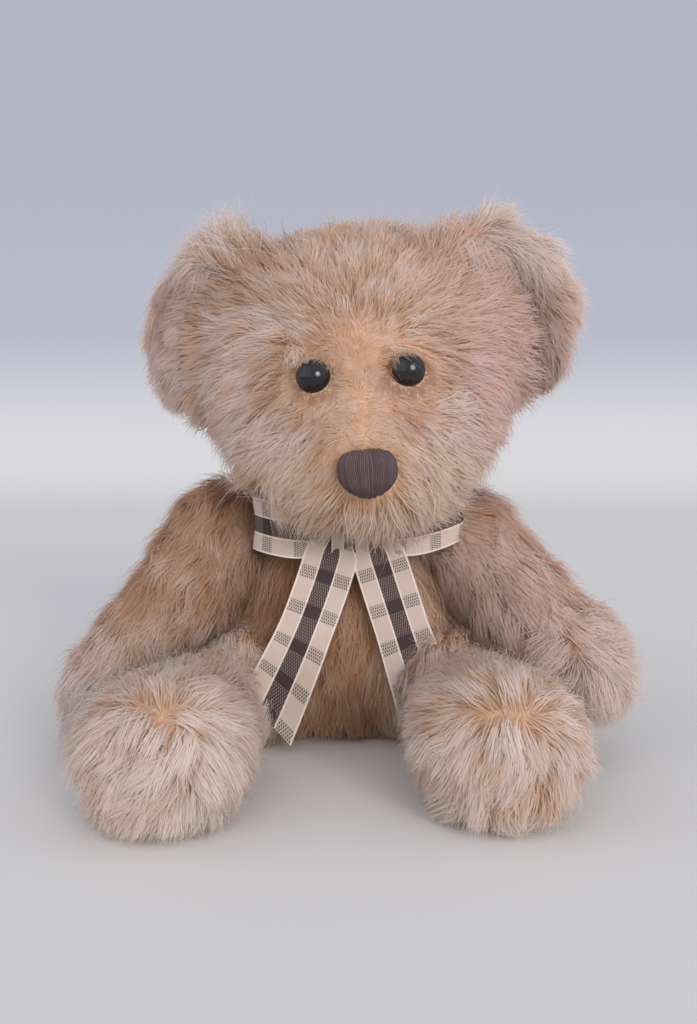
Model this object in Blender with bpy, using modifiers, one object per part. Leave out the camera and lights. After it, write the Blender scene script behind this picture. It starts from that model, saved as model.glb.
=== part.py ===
"""A small seated teddy bear in worn long-pile plush, with a checked ribbon tied round its neck.

Metres, +Z up. The bear sits on the plane Z = 0 and faces -Y, so its left side is +X. Every soft form is
the stuffed plush with its pile on, as it would be measured with the pile lightly pressed.
"""

import math

import bmesh
import bpy
from mathutils import Matrix, Vector

# Driving dimensions
GAP = 0.0003
TO_CENTRE = Vector((0.0021, -0.0015, 0))  # brings the middle of the bear's box over the origin

TORSO_HEIGHT = 0.096
TORSO_WIDTH = 0.100
TORSO_DEPTH = 0.090
TORSO_AXIS_Y = 0.045

HEAD_CENTRE = Vector((0.004, 0.032, 0.140))
HEAD_WIDTH = 0.136
HEAD_ROLL = math.radians(3.7)

EAR_LENGTH = 0.074
EAR_REACH = 0.030
EAR_THICK = 0.019
EAR_RISE = math.radians(24.5)
EAR_ROOT = 0.064  # from the middle of the head out to the sewn line
EAR_FORWARD = 0.004  # how far in front of the middle of the head the line is
EAR_LEFT_CUP, EAR_LEFT_SWEEP = 0.012, -0.002
EAR_RIGHT_CUP, EAR_RIGHT_SWEEP = 0.006, 0.004

ARM_THICK = 0.041
PAW_WIDTH = 0.047
LEG_THICK = 0.041
FOOT_WIDTH = 0.068
FOOT_HEIGHT = 0.054
# each limb's line: where it is sewn on, the point that bends it, and its tip
ARM_LEFT = [(0.038, 0.042, 0.098), (0.057, 0.030, 0.068), (0.096, -0.022, 0.022)]
ARM_RIGHT = [(-0.042, 0.042, 0.104), (-0.061, 0.032, 0.067), (-0.100, -0.012, 0.008)]
LEG_LEFT = [(0.026, 0.052, 0.020), (0.054, 0.000, 0.019), (0.0455, -0.083, 0.026)]
LEG_RIGHT = [(-0.026, 0.052, 0.020), (-0.060, 0.000, 0.019), (-0.058, -0.087, 0.025)]

EYE_DIAMETER = 0.0120
EYE_DOME = 0.0055
EYE_EDGE = 0.0006
EYE_SPACING = 0.0325
EYE_DROP = 0.0005
EYE_SUNK = 0.0026
SHANK_RADIUS = 0.0018
SHANK_LENGTH = 0.0120
SHANK_TOP = 0.0008
RING_COUNT = 5
RING_HEIGHT = 0.0004
WASHER_RADIUS = 0.0076
WASHER_THICK = 0.0022
WASHER_LIP = 0.0008
WASHER_SUNK = 0.0095

NOSE_WIDTH = 0.0205
NOSE_HEIGHT = 0.0168
NOSE_DROP = 0.0345
NOSE_THICK = 0.0095
NOSE_SUNK = 0.0070

RIBBON_WIDTH = 0.020
RIBBON_THICK = 0.0008
# how far each loop reaches from the knot, and how far its end is lifted
LOOP_LEFT = (0.0430, 0.0070)
LOOP_RIGHT = (0.0365, 0.0035)
LOOP_FULL = 0.0055
LOOP_SWEEP = 0.010
# each tail's length, how far out it starts, how much further out it ends, and how late it goes there
TAIL_LEFT = (0.068, 0.0085, 0.0220, 1.0)
TAIL_RIGHT = (0.067, 0.0055, 0.0255, 1.25)
TAIL_FRONT = -0.0030
TAIL_HANG = -0.0050
TAIL_CUT = 0.65
NECK_RADIUS = 0.0290
NECK_CENTRE = Vector((0.0, 0.0400, 0.0885))
NECK_TILT = math.radians(11)
COLLAR_WIDTH = 0.010
KNOT_CENTRE = Vector((0.0005, 0.0050, 0.0810))
KNOT_WIDTH = 0.014
KNOT_HEIGHT = 0.013
KNOT_DEPTH = 0.011
KNOT_PINCH = 0.42

TURN_STEPS = 20
CAGE_SIDES = 12
CAGE_SHRINK = math.cos(math.pi / CAGE_SIDES)  # how far one level of smoothing draws a ring in

PLUSH_TAN = (0.60, 0.40, 0.25, 1.0)
PLUSH_PEACH = (0.70, 0.50, 0.34, 1.0)
PLUSH_CREAM = (0.76, 0.62, 0.46, 1.0)
EYE_BLACK = (0.012, 0.011, 0.012, 1.0)
WASHER_WHITE = (0.75, 0.74, 0.70, 1.0)
NOSE_BROWN = (0.075, 0.040, 0.035, 1.0)
RIBBON_CREAM = (0.62, 0.52, 0.42, 1.0)


def clear_scene():
    for thing in list(bpy.data.objects):
        bpy.data.objects.remove(thing)


def new_collection(name, shown=True):
    group = bpy.data.collections.new(name)
    group.hide_render = not shown
    bpy.context.scene.collection.children.link(group)
    return group


def material(name, colour, roughness):
    made = bpy.data.materials.new(name)
    made.use_nodes = True
    shader = made.node_tree.nodes["Principled BSDF"]
    shader.inputs["Base Color"].default_value = colour
    shader.inputs["Roughness"].default_value = roughness
    made.diffuse_color = colour
    return made


def add_object(name, mesh, finish, parent=None, location=(0, 0, 0), rotation=(0, 0, 0)):
    thing = bpy.data.objects.new(name, mesh)
    bear.objects.link(thing)
    mesh.materials.append(finish)
    thing.parent = parent
    thing.location = location
    thing.rotation_euler = rotation
    return thing


def mesh_of(name, points, faces):
    mesh = bpy.data.meshes.new(name)
    mesh.from_pydata([tuple(p) for p in points], [], faces)
    mesh.shade_smooth()
    return mesh


def rounded(turn, squareness):
    """A point of a unit superellipse: 2 is a circle, and more fills its corners."""
    x, y = math.cos(turn), math.sin(turn)
    power = 2 / squareness
    return math.copysign(abs(x) ** power, x), math.copysign(abs(y) ** power, y)


def ring_cage(name, rings, first, last):
    """A coarse cage: rings of points in order, closed by a point at each end.

    A ring is its centre, the half axis to its side, the half axis upwards, and how square its two halves
    are, on the up side and on the other. Its points run from the side axis to the up axis.
    """
    points = [first]
    for centre, side, up, *square in rings:
        over, under = square or (2.0, 2.0)
        for k in range(CAGE_SIDES):
            turn = math.tau * k / CAGE_SIDES
            x, y = rounded(turn, over if turn <= math.pi else under)
            points.append(centre + (side * x + up * y) / CAGE_SHRINK)
    points.append(last)
    faces = []
    for k in range(CAGE_SIDES):
        after = (k + 1) % CAGE_SIDES
        faces.append((0, 1 + after, 1 + k))
        for row in range(len(rings) - 1):
            here = 1 + row * CAGE_SIDES
            there = here + CAGE_SIDES
            faces.append((here + k, here + after, there + after, there + k))
        faces.append((there + k, there + after, len(points) - 1))
    return mesh_of(name, points, faces)


def smooth(thing, levels=1):
    modifier = thing.modifiers.new("stuffing", "SUBSURF")
    modifier.levels = levels
    modifier.render_levels = levels
    return modifier


def helper(name, mesh, parent=None, location=(0, 0, 0), rotation=(0, 0, 0)):
    """An object that only cuts or joins: it is no piece of the bear."""
    thing = bpy.data.objects.new(name, mesh)
    cutters.objects.link(thing)
    thing.parent = parent
    thing.location = location
    thing.rotation_euler = rotation
    thing.hide_render = True
    thing.display_type = "WIRE"
    return thing


def grown_copy(thing):
    """A cutter with the smoothed shape of a piece, larger by the gap all over."""
    name = thing.name + "_cutter"
    cutter = helper(name, thing.data, thing.parent, thing.location, thing.rotation_euler)
    if thing.modifiers and thing.modifiers[0].type == "SUBSURF":
        smooth(cutter, thing.modifiers[0].levels)
    swell = cutter.modifiers.new("gap", "DISPLACE")
    swell.mid_level = 0.0
    swell.strength = GAP
    return cutter


def seat(piece, cutter):
    """Presses a piece against its neighbour: it loses what the grown neighbour takes."""
    cut = piece.modifiers.new("seat on " + cutter.name, "BOOLEAN")
    cut.operation = "DIFFERENCE"
    cut.object = cutter
    return cut


def floor_block():
    """The floor under the bear, which presses the plush flat where it rests."""
    size, depth = 0.6, 0.05
    block = bmesh.new()
    place = Matrix.Translation((0, 0, -depth / 2)) @ Matrix.Diagonal((size, size, depth, 1))
    bmesh.ops.create_cube(block, size=1.0, matrix=place)
    mesh = bpy.data.meshes.new("floor_cutter")
    block.to_mesh(mesh)
    block.free()
    return helper("floor_cutter", mesh)


def make_torso():
    """A pear: a flat seat, the belly widest at a third of its height, then shoulders and neck."""
    # height, width and depth as shares of the whole, and how far the ring sits forward of the axis
    shape = [
        (0.00, 0.40, 0.38, 0.000),
        (0.00, 0.90, 0.90, 0.000),
        (0.09, 1.02, 1.02, 0.000),
        (0.34, 1.00, 1.00, 0.001),
        (0.60, 0.90, 0.92, 0.002),
        (0.80, 0.64, 0.68, 0.004),
        (0.93, 0.50, 0.54, 0.005),
    ]
    rings = []
    for height, wide, deep, forward in shape:
        centre = Vector((0, TORSO_AXIS_Y - forward, height * TORSO_HEIGHT))
        side = Vector((wide * TORSO_WIDTH / 2, 0, 0))
        rings.append((centre, side, Vector((0, deep * TORSO_DEPTH / 2, 0))))
    first = Vector((0, TORSO_AXIS_Y, 0))
    last = Vector((0, TORSO_AXIS_Y - 0.006, TORSO_HEIGHT))
    torso = add_object("torso", ring_cage("torso", rings, first, last), peach_plush)
    smooth(torso)
    return torso


def make_head():
    """Rings from the muzzle's tip back to the nape, about the head's own centre."""
    # distance back from the centre, half width, top, bottom, and how square the crown is
    shape = [
        (-0.068, 0.016, -0.021, -0.048, 2.0),
        (-0.060, 0.031, -0.008, -0.057, 2.0),
        (-0.046, 0.050, 0.022, -0.062, 2.1),
        (-0.027, 0.063, 0.050, -0.060, 2.4),
        (-0.005, 0.068, 0.064, -0.055, 2.6),
        (0.017, 0.066, 0.062, -0.051, 2.5),
        (0.037, 0.052, 0.048, -0.039, 2.3),
        (0.049, 0.027, 0.026, -0.021, 2.0),
    ]
    rings = []
    for back, half, top, bottom, crown in shape:
        centre = Vector((0, back, (top + bottom) / 2))
        side = Vector((half * HEAD_WIDTH / 0.136, 0, 0))
        rings.append((centre, side, Vector((0, 0, (bottom - top) / 2)), 2.05, crown))
    first = Vector((0, -0.071, -0.034))
    last = Vector((0, 0.050, 0.002))
    mesh = ring_cage("head", rings, first, last)
    head = add_object("head", mesh, cream_plush, None, HEAD_CENTRE, (0, -HEAD_ROLL, 0))
    smooth(head)
    return head


def make_ear(name, side, rim, sweep):
    """A cupped flap: rings along its sewn line, the rim brought forward and the tip swept back.

    side is -1 or 1, rim is how far the rim's ends come forward, and sweep how far the tip goes back.
    """
    outward = Vector((side * math.cos(EAR_RISE), 0, math.sin(EAR_RISE)))
    along = Vector((-side * math.sin(EAR_RISE), 0, math.cos(EAR_RISE)))
    root = outward * EAR_ROOT - Vector((0, EAR_FORWARD, 0))
    shares = [(-0.92, 0.42), (-0.66, 0.76), (-0.25, 0.98), (0.25, 0.98), (0.66, 0.76), (0.92, 0.42)]
    rings = []
    for place, full in shares:
        cup = -rim * place * place
        centre = root + along * (place * EAR_LENGTH / 2) + Vector((0, cup, 0))
        reach = outward * (full * EAR_REACH) + Vector((0, sweep * full, 0))
        thick = Vector((0, 0.5 * EAR_THICK * (0.45 + 0.55 * full), 0))
        rings.append((centre, reach, thick * side))
    first = root - along * (EAR_LENGTH / 2) - Vector((0, rim, 0))
    last = root + along * (EAR_LENGTH / 2) - Vector((0, rim, 0))
    ear = add_object(name, ring_cage(name, rings, first, last), cream_plush, head)
    smooth(ear)
    return ear


def limb_rings(path, shape):
    """Rings along a bent line: each is a place along it with a half width and a half height."""
    rings = []
    for place, half_width, half_height in shape:
        centre = path(place)
        ahead = (path(place + 0.01) - path(place - 0.01)).normalized()
        side = Vector((0, 0, 1)).cross(ahead).normalized()
        up = ahead.cross(side)
        rings.append((centre, side * half_width, up * half_height))
    return rings


def bent_line(start, middle, end):
    """A quadratic curve that starts and ends at two points and is drawn towards a third."""
    start, middle, end = Vector(start), Vector(middle), Vector(end)

    def at(t):
        return start * (1 - t) ** 2 + middle * (2 * t * (1 - t)) + end * t**2

    return at


def make_arm(name, line):
    """A tube that hangs out and forward from the shoulder and swells into a round paw."""
    half, paw_half = ARM_THICK / 2, PAW_WIDTH / 2
    shape = [
        (0.05, 0.55 * half, 0.55 * half),
        (0.16, half, half),
        (0.38, 1.06 * half, 1.06 * half),
        (0.60, half, 0.98 * half),
        (0.78, 0.98 * paw_half, 0.96 * paw_half),
        (0.90, 0.94 * paw_half, 0.92 * paw_half),
        (0.98, 0.55 * paw_half, 0.55 * paw_half),
    ]
    path = bent_line(*line)
    mesh = ring_cage(name, limb_rings(path, shape), line[0], line[2])
    arm = add_object(name, mesh, peach_plush)
    smooth(arm)
    return arm


def make_leg(name, line):
    """A full thigh that lies forward from the hip and a foot like a ball, both pressed on the floor."""
    half, wide, high = LEG_THICK / 2, FOOT_WIDTH / 2, FOOT_HEIGHT / 2
    shape = [
        (0.03, 0.6 * half, 0.6 * half),
        (0.14, 1.05 * half, 1.15 * half),
        (0.34, 1.08 * half, 1.24 * half),
        (0.52, 1.05 * half, 1.12 * half),
        (0.64, 0.92 * wide, 0.92 * high),
        (0.78, wide, high),
        (0.91, 0.92 * wide, 0.93 * high),
        (0.985, 0.62 * wide, 0.66 * high),
    ]
    path = bent_line(*line)
    mesh = ring_cage(name, limb_rings(path, shape), line[0], line[2])
    leg = add_object(name, mesh, cream_plush)
    smooth(leg)
    return leg


def profile_mesh(name, profile, closed=False):
    """A line to turn about Z. It runs down the +X side from the top to the bottom."""
    mesh = bpy.data.meshes.new(name)
    edges = [(k, k + 1) for k in range(len(profile) - 1)]
    if closed:
        edges.append((len(profile) - 1, 0))
    mesh.from_pydata([(x, 0, z) for x, z in profile], edges, [])
    return mesh


def turned(thing):
    modifier = thing.modifiers.new("turned", "SCREW")
    modifier.steps = TURN_STEPS
    modifier.render_steps = TURN_STEPS
    modifier.use_merge_vertices = True
    modifier.merge_threshold = 0.00001
    modifier.use_smooth_shade = True


def face_point(x, z):
    """Where the line straight back through x and z of the head's own frame meets the face."""
    graph = bpy.context.evaluated_depsgraph_get()
    surface = head.evaluated_get(graph)
    hit, place, normal, _ = surface.ray_cast(Vector((x, -0.2, z)), Vector((0, 1, 0)))
    return place, normal


def dome_line(radius, height):
    """From the top of a low dome down to its edge."""
    rising = [math.radians(a) for a in (75, 60, 45, 30, 15, 0)]
    return [(0.0, height)] + [(radius * math.cos(a), height * math.sin(a)) for a in rising]


def eye_profile():
    """Dome, thin edge, flat back, then the shank with its lock rings down to a blunt tip."""
    radius = EYE_DIAMETER / 2
    dome = dome_line(radius, EYE_DOME)
    back = [(radius, -EYE_EDGE), (SHANK_RADIUS, -SHANK_TOP)]
    pitch = SHANK_LENGTH / (RING_COUNT + 1)
    shank = []
    for k in range(RING_COUNT):
        top = -SHANK_TOP - pitch * (k + 0.8)
        shank += [(SHANK_RADIUS, top), (SHANK_RADIUS + RING_HEIGHT, top - 0.35 * pitch)]
    tip = -SHANK_TOP - SHANK_LENGTH
    return dome + back + shank + [(SHANK_RADIUS, tip + 0.0006), (SHANK_RADIUS - 0.0010, tip), (0.0, tip)]


def washer_profile():
    """A ring with a raised lip round its bore and a sloping top, dished behind."""
    bore = SHANK_RADIUS + RING_HEIGHT + GAP
    return [
        (bore, WASHER_LIP),
        (bore + 0.0012, WASHER_LIP),
        (WASHER_RADIUS - 0.0006, 0.0),
        (WASHER_RADIUS, -0.0006),
        (WASHER_RADIUS, -WASHER_THICK),
        (bore + 0.0014, -WASHER_THICK + WASHER_LIP),
        (bore, -WASHER_THICK + WASHER_LIP),
    ]


def pocket_profile():
    """The room for the washer in the stuffing, narrower behind it for the end of the shank."""
    room = 0.0006
    shank_end = -0.0062
    return [
        (0.0, WASHER_LIP + room),
        (WASHER_RADIUS + room, WASHER_LIP + room),
        (WASHER_RADIUS + room, -WASHER_THICK - room),
        (SHANK_RADIUS + 2 * room, shank_end),
        (0.0, shank_end),
    ]


def hole_profile():
    """The dome and the shank, larger by the gap, as far as the washer's pocket."""
    radius, bore, deep = EYE_DIAMETER / 2 + GAP, SHANK_RADIUS + 2 * RING_HEIGHT, -0.0080
    edge = [(radius, -0.0009 - GAP), (bore, -0.0011 - GAP), (bore, deep), (0.0, deep)]
    return dome_line(radius, EYE_DOME + GAP) + edge


def make_eye(name, washer_name, side):
    """A safety eye on the face and its lock washer behind, both turned about the shank."""
    place, normal = face_point(side * EYE_SPACING / 2, -EYE_DROP)
    forward = Vector((0, -1, 0))
    aim = (normal * 0.4 + forward * 0.6).normalized()
    turn = aim.to_track_quat("Z", "Y").to_euler()
    dome_place, washer_place = place - aim * EYE_SUNK, place - aim * WASHER_SUNK
    eye = add_object(name, profile_mesh(name, eye_profile()), eye_plastic, head, dome_place, turn)
    mesh = profile_mesh(washer_name, washer_profile(), closed=True)
    washer = add_object(washer_name, mesh, washer_plastic, head, washer_place, turn)
    mesh = profile_mesh(washer_name + "_pocket", pocket_profile())
    pocket = helper(washer_name + "_pocket", mesh, head, washer_place, turn)
    hole = helper(name + "_hole", profile_mesh(name + "_hole", hole_profile()), head, dome_place, turn)
    for thing in (eye, washer, pocket, hole):
        turned(thing)
    return hole, pocket


def make_nose():
    """A padded cushion of thread, broad above and drawn in to a soft point below."""
    place, _ = face_point(0, -NOSE_DROP)
    rings = []
    # how far forward, and how much of the full outline the ring has
    for depth, share in [(0.02, 0.80), (0.25, 1.0), (0.62, 1.0), (0.86, 0.84), (0.97, 0.50)]:
        side = Vector((share * NOSE_WIDTH / 2, 0, 0))
        up = Vector((0, 0, share * NOSE_HEIGHT / 2))
        rings.append((Vector((0, -depth * NOSE_THICK, 0)), side, up, 2.8, 1.9))
    mesh = ring_cage("nose", rings, Vector((0, 0, 0)), Vector((0, -NOSE_THICK, 0)))
    nose = add_object("nose", mesh, nose_thread, head, place + Vector((0, NOSE_SUNK, 0)))
    smooth(nose)
    return nose


def strip_mesh(name, centres, across, widths, ring=False):
    """An open ribbon surface, three points across at each place, or one that meets its own start."""
    points = []
    for centre, over, width in zip(centres, across, widths):
        for share in (-0.5, 0.0, 0.5):
            points.append(centre + over * (share * width))
    faces = []
    count = len(centres)
    for k in range(count if ring else count - 1):
        here, there = 3 * k, 3 * ((k + 1) % count)
        for j in range(2):
            faces.append((here + j, here + j + 1, there + j + 1, there + j))
    return mesh_of(name, points, faces)


def band(name, centres, across, widths, thick, grow, ring=False):
    """One run of ribbon as a thin closed solid, larger all round by the amount it is grown."""
    wide = [width + 2 * grow for width in widths]
    run = helper(name, strip_mesh(name, centres, across, wide, ring))
    shell = run.modifiers.new("thickness", "SOLIDIFY")
    shell.thickness = thick + 2 * grow
    shell.offset = 0.0
    return run


def pinched(share):
    """Width of the ribbon as a share of the flat ribbon, going out of the knot."""
    return KNOT_PINCH + (1 - KNOT_PINCH) * math.sin(min(share, 1.0) * math.pi / 2)


def collar_band(grow):
    """The run round the neck, gathered to half its width, higher at the nape than at the throat."""
    count = 32
    centres, across = [], []
    for k in range(count):
        turn = math.tau * k / count
        ahead = -math.cos(turn) * NECK_RADIUS
        rise = ahead * math.tan(NECK_TILT)
        centres.append(NECK_CENTRE + Vector((math.sin(turn) * NECK_RADIUS, ahead, rise)))
        across.append(Vector((0, 0, 1)))
    widths = [COLLAR_WIDTH] * count
    return band("collar", centres, across, widths, 2 * RIBBON_THICK, grow, ring=True)


def loop_band(name, side, loop, grow):
    """One loop of the bow: half a figure of eight, swept back round the chest and lifted a little."""
    reach, lift = loop
    count = 22
    centres, across, widths = [], [], []
    for k in range(count + 1):
        share = k / count
        out = math.sin(math.pi * share)
        fold = math.sin(math.tau * share)
        centre = Vector((side * reach * out, -LOOP_FULL * fold, lift * out * out))
        centre.y += LOOP_SWEEP * out * out
        centres.append(KNOT_CENTRE + centre)
        across.append(Vector((0, 0.12 * fold, 1)).normalized())
        widths.append(RIBBON_WIDTH * pinched(1.5 * out))
    return band(name, centres, across, widths, RIBBON_THICK, grow)


def tail_band(name, side, tail, grow):
    """A tail: it leaves the knot at the front, follows the belly down and ends in a slanting cut."""
    length, apart, spread, bend = tail
    count = 18
    centres, across, widths = [], [], []
    for k in range(count + 1):
        share = k / count
        down = length * share
        out = apart + spread * share**bend
        lean = spread * bend * share ** (bend - 1)
        belly = TAIL_FRONT + TAIL_HANG * (1 - math.cos(math.pi * min(share * 1.4, 1))) / 2
        centres.append(KNOT_CENTRE + Vector((side * out, belly, -down - 0.001)))
        across.append(Vector((length, 0, side * lean)).normalized())
        widths.append(RIBBON_WIDTH * pinched(9 * share))
    run = band(name, centres, across, widths, RIBBON_THICK, grow)
    # the slanting cut: towards the end the outer edge runs out higher than the inner one
    for k, vertex in enumerate(run.data.vertices):
        row = k // 3
        inward = (centres[row].x - vertex.co.x) * side
        vertex.co.z -= TAIL_CUT * inward * max(0.0, 2 * row / count - 1)
    return run


def knot_lump():
    """The turn of ribbon that holds the bow: a small cushion, wider than high."""
    rings = []
    for place, full in [(-0.86, 0.62), (-0.5, 0.96), (0.0, 1.0), (0.5, 0.96), (0.86, 0.62)]:
        centre = KNOT_CENTRE + Vector((place * KNOT_WIDTH / 2, 0, 0))
        side = Vector((0, full * KNOT_DEPTH / 2, 0))
        rings.append((centre, side, Vector((0, 0, full * KNOT_HEIGHT / 2)), 2.6, 2.6))
    half = Vector((KNOT_WIDTH / 2, 0, 0))
    knot = add_object(
        "neck_ribbon", ring_cage("neck_ribbon", rings, KNOT_CENTRE - half, KNOT_CENTRE + half), ribbon_weave
    )
    smooth(knot)
    return knot


def ribbon_runs(grow):
    """The five runs of the one ribbon, as far as they show outside its knot."""
    return [
        collar_band(grow),
        loop_band("loop_left", 1, LOOP_LEFT, grow),
        loop_band("loop_right", -1, LOOP_RIGHT, grow),
        tail_band("tail_left", 1, TAIL_LEFT, grow),
        tail_band("tail_right", -1, TAIL_RIGHT, grow),
    ]


def make_ribbon():
    """One length of ribbon: collar, knot, two loops and two tails, joined into one solid."""
    ribbon = knot_lump()
    bed = [grown_copy(ribbon)] + ribbon_runs(GAP)
    for run in ribbon_runs(0.0):
        join = ribbon.modifiers.new("joined " + run.name, "BOOLEAN")
        join.operation = "UNION"
        join.object = run
    return ribbon, bed


clear_scene()
bear = new_collection("teddy_bear")
cutters = new_collection("cutters", False)
peach_plush = material("peach_plush", PLUSH_PEACH, 0.9)
cream_plush = material("cream_plush", PLUSH_CREAM, 0.9)
eye_plastic = material("eye_plastic", EYE_BLACK, 0.08)
washer_plastic = material("washer_plastic", WASHER_WHITE, 0.5)
nose_thread = material("nose_thread", NOSE_BROWN, 0.7)
ribbon_weave = material("ribbon_weave", RIBBON_CREAM, 0.75)

torso = make_torso()
head = make_head()
ear_left = make_ear("ear_left", 1, EAR_LEFT_CUP, EAR_LEFT_SWEEP)
ear_right = make_ear("ear_right", -1, EAR_RIGHT_CUP, EAR_RIGHT_SWEEP)
arm_left = make_arm("arm_left", ARM_LEFT)
arm_right = make_arm("arm_right", ARM_RIGHT)
leg_left = make_leg("leg_left", LEG_LEFT)
leg_right = make_leg("leg_right", LEG_RIGHT)

bpy.context.view_layer.update()
eyes = [make_eye("eye_left", "eye_washer_left", 1), make_eye("eye_right", "eye_washer_right", -1)]
nose = make_nose()
neck_ribbon, ribbon_bed = make_ribbon()

torso_cutter = grown_copy(torso)
head_cutter = grown_copy(head)
leg_left_cutter = grown_copy(leg_left)
leg_right_cutter = grown_copy(leg_right)
floor = floor_block()
seat(torso, head_cutter)
seat(torso, floor)
for leg in (leg_left, leg_right):
    seat(leg, floor)
    seat(leg, torso_cutter)
for arm, leg_cutter in ((arm_left, leg_left_cutter), (arm_right, leg_right_cutter)):
    seat(arm, torso_cutter)
    seat(arm, head_cutter)
    seat(arm, leg_cutter)
for ear in (ear_left, ear_right):
    seat(ear, head_cutter)
for eye_cutters in eyes:
    for cutter in eye_cutters:
        seat(head, cutter)
seat(head, grown_copy(nose))
for soft in (torso, head, arm_left, arm_right, leg_left, leg_right):
    for run in ribbon_bed:
        seat(soft, run)

for thing in bpy.data.objects:
    if thing.parent is None:
        thing.location += TO_CENTRE
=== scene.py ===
"""A small seated teddy bear in worn long pile, with safety eyes, a stitched nose and a checked bow.

The skins are stuffed first, then come the eyes, the nose and the ribbon, and last the pile is combed
round and under them. Metres, +Z up; the bear looks along -Y and its left side is +X.
"""

import math

import bpy
import numpy as np
from mathutils.kdtree import KDTree
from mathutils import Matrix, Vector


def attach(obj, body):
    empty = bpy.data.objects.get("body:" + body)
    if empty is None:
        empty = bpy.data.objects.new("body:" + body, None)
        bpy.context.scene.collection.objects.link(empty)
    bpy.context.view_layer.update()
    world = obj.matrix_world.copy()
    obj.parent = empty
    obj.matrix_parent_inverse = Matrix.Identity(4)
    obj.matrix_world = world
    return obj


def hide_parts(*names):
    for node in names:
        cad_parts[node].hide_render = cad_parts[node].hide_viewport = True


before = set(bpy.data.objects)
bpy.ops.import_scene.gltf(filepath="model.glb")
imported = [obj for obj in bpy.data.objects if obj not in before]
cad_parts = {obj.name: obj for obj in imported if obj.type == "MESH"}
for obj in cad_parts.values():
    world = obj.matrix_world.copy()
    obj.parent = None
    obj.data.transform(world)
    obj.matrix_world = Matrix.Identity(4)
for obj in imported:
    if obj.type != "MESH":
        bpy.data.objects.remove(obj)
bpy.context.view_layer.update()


# The sewn skins: eight pieces of knitted backing, sewn inside out, turned and stuffed with fibre.
# Each lies inside its solid by the depth of its pile, and meets its neighbours at the seams.


class Wire:
    """A value on its way through a material's nodes. A sum on it adds the Math node that does it."""

    def __init__(self, tree, socket):
        self.tree, self.socket = tree, socket

    def node(self, kind, settings=None, sockets=None, out=0):
        """Adds a node with its settings by name and its sockets by name or number."""
        made = self.tree.nodes.new(kind)
        for name, value in (settings or {}).items():
            setattr(made, name, value)
        for key, value in (sockets or {}).items():
            if isinstance(value, Wire):
                self.tree.links.new(value.socket, made.inputs[key])
            else:
                made.inputs[key].default_value = value
        return Wire(self.tree, made.outputs[out])

    def maths(self, operation, *others):
        """A Math node on this value and then the others."""
        return self.node("ShaderNodeMath", {"operation": operation}, dict(enumerate((self, *others))))

    def __add__(self, other):
        return self.maths("ADD", other)

    def __sub__(self, other):
        return self.maths("SUBTRACT", other)

    def __rsub__(self, other):
        return self * -1.0 + other

    def __mul__(self, other):
        return self.maths("MULTIPLY", other)

    def __truediv__(self, other):
        return self.maths("DIVIDE", other)

    __radd__, __rmul__ = __add__, __mul__

    def fract(self):
        return self.maths("FRACT")

    def away(self, middle):
        """How far the value is from a middle."""
        return (self - middle).maths("ABSOLUTE")

    def rise(self, low, high):
        """Goes smoothly from 0 at low to 1 at high."""
        sockets = {"Value": self, "From Min": low, "From Max": high}
        return self.node("ShaderNodeMapRange", {"interpolation_type": "SMOOTHSTEP"}, sockets)

    def colour(self, first, second):
        """first where this value is 0, second mixed over it where it is 1."""
        return self.node("ShaderNodeMix", {"data_type": "RGBA"}, {0: self, 6: first, 7: second}, 2)

    def noise(self, where, scale, detail=2.0):
        return self.node("ShaderNodeTexNoise", {}, {"Vector": where, "Scale": scale, "Detail": detail})

    def parts(self):
        """The three numbers of a vector."""
        split = self.node("ShaderNodeSeparateXYZ", {}, {"Vector": self})
        return [Wire(self.tree, split.socket.node.outputs[k]) for k in range(3)]

    def told(self, name, out=1):
        """What the mesh tells its material under this name: its three numbers, or one with out=2."""
        told = self.node("ShaderNodeAttribute", {"attribute_name": name}, {}, out)
        return told.parts() if out == 1 else told

    def into(self, name):
        """Feeds the shader's socket of this name."""
        self.tree.links.new(self.socket, self.tree.nodes["Principled BSDF"].inputs[name])

    def bump(self, strength, distance):
        """Takes this value as the height of a relief, and feeds the shader's normal."""
        sockets = {"Strength": strength, "Distance": distance, "Height": self}
        self.node("ShaderNodeBump", {}, sockets).into("Normal")


def srgb(red, green, blue):
    """A colour as it looks on a screen, 0 to 255, in the linear values that a shader takes."""
    share = np.array([red, green, blue]) / 255
    linear = np.where(share > 0.04045, ((share + 0.055) / 1.055) ** 2.4, share / 12.92)
    return (*linear.tolist(), 1.0)


def finish(name, constants):
    """A new material with these shader constants; gives it with a wire of its Object coordinates."""
    made = bpy.data.materials.new(name)
    made.use_nodes = True
    for socket, value in constants.items():
        made.node_tree.nodes["Principled BSDF"].inputs[socket].default_value = value
    return made, Wire(made.node_tree, None).node("ShaderNodeTexCoord", {}, {}, 3)


def put(name, data):
    """Puts a mesh, a lamp or a camera in the scene."""
    made = bpy.data.objects.new(name, data)
    bpy.context.scene.collection.objects.link(made)
    return made


def new_mesh(name, points, faces, finish_of_it):
    """Puts a piece in the scene from its points and its faces, which are rows of point numbers."""
    mesh = bpy.data.meshes.new(name)
    mesh.from_pydata(np.asarray(points).reshape(-1, 3), [], np.asarray(faces))
    mesh.materials.append(finish_of_it)
    mesh.shade_smooth()
    return put(name, mesh)


def tell(mesh, name, values):
    """Keeps three numbers for each point under a name, for the material to read."""
    mesh.attributes.new(name, "FLOAT_VECTOR", "POINT").data.foreach_set("vector", np.ravel(values))


def places(mesh, what="co", layer=None):
    """The points of a mesh, or another vector of them, as rows."""
    rows = np.empty(3 * len(mesh.vertices))
    (layer or mesh.vertices).foreach_get(what, rows)
    return rows.reshape(-1, 3)


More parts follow.
